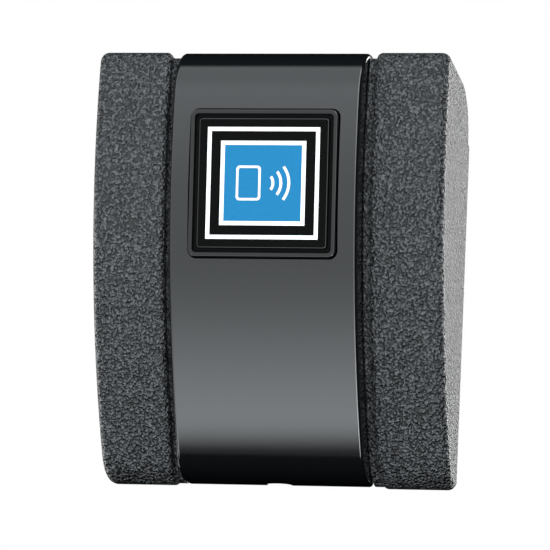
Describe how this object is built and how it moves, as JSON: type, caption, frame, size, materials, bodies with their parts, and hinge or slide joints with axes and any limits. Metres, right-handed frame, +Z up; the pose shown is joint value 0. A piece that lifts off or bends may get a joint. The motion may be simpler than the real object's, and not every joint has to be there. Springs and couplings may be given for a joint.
{
  "type": "wall-mounted card reader",
  "caption": "Wall-mounted proximity card reader: two grained wings, a gloss centre panel with a square badge, on a hook-on wall plate.",
  "frame": {"origin": "on the wall plane, at the middle of the height and width of the gasket's back face", "axes": "+X right, -Y out of the wall toward the user, +Z up"},
  "size_m": [0.0888, 0.0398, 0.1054],
  "materials": {
    "textured_shell": "pebble-grained moulding, satin",
    "gloss_panel": "smooth, fine orange peel, semi-gloss",
    "badge_black": "polished black",
    "badge_print": "polished plate printed black, white and blue from behind",
    "light_plastic": "milky diffusing plastic",
    "foam_rubber": "closed-cell foam, matte",
    "zinc_steel": "bright zinc plate",
    "dark_plastic": "fine moulded matte",
    "circuit_board": "green solder mask",
    "chip_plastic": "moulded package",
    "bright_can": "drawn metal can",
    "led_red": "clear tinted",
    "led_amber": "clear tinted",
    "led_green": "clear tinted",
    "former_plastic": "natural nylon",
    "copper_wire": "enamelled copper winding",
    "terminal_plastic": "moulded nylon",
    "switch_plastic": "moulded nylon",
    "plunger_plastic": "moulded acetal"
  },
  "bodies": {
    "wall_mount": {"wall_gasket": "foam_rubber", "mounting_plate": "zinc_steel"},
    "reader": {"front_housing": "textured_shell", "centre_panel": "gloss_panel", "badge_bezel": "badge_black", "badge_plate": "badge_print", "light_guide": "light_plastic", "rear_cover": "dark_plastic", "housing_seal": "foam_rubber", "housing_screw_1": "zinc_steel", "housing_screw_2": "zinc_steel", "housing_screw_3": "zinc_steel", "housing_screw_4": "zinc_steel", "main_board": "circuit_board", "controller_chip": "chip_plastic", "radio_chip": "chip_plastic", "voltage_regulator": "chip_plastic", "timing_crystal": "bright_can", "capacitor_1": "bright_can", "capacitor_2": "bright_can", "beeper": "dark_plastic", "status_led_red": "led_red", "status_led_amber": "led_amber", "status_led_green": "led_green", "aerial_former": "former_plastic", "aerial_coil": "copper_wire", "terminal_block": "terminal_plastic", "terminal_screw_1": "zinc_steel", "terminal_screw_2": "zinc_steel", "terminal_screw_3": "zinc_steel", "terminal_screw_4": "zinc_steel", "terminal_screw_5": "zinc_steel", "terminal_screw_6": "zinc_steel", "tamper_switch": "switch_plastic"},
    "plunger": {"tamper_plunger": "plunger_plastic"},
    "lock_washer": {"locking_washer": "zinc_steel"},
    "lock_screw": {"locking_screw": "zinc_steel"}
  },
  "joints": [
    {"name": "reader_swing", "type": "hinge", "parent": "wall_mount", "child": "reader", "pos_m": [0, -0.0042, 0.0335], "axis": [-1, 0, 0], "range_deg": [0, 14]},
    {"name": "plunger_slide", "type": "slide", "parent": "reader", "child": "plunger", "axis": [0, 1, 0], "range_m": [0, 0.0015]},
    {"name": "screw_turn", "type": "hinge", "parent": "lock_washer", "child": "lock_screw", "pos_m": [0, -0.0039, -0.0498], "axis": [0, 0, -1], "range_deg": [0, 1440]},
    {"name": "screw_travel", "type": "slide", "parent": "wall_mount", "child": "lock_washer", "axis": [0, 0, -1], "range_m": [0, 0.002]}
  ],
  "couplings": [
    {"joint": "plunger_slide", "follows": "reader_swing", "m_per_rad": 0.006127},
    {"joint": "screw_turn", "follows": "screw_travel", "rad_per_m": 12565}
  ]
}
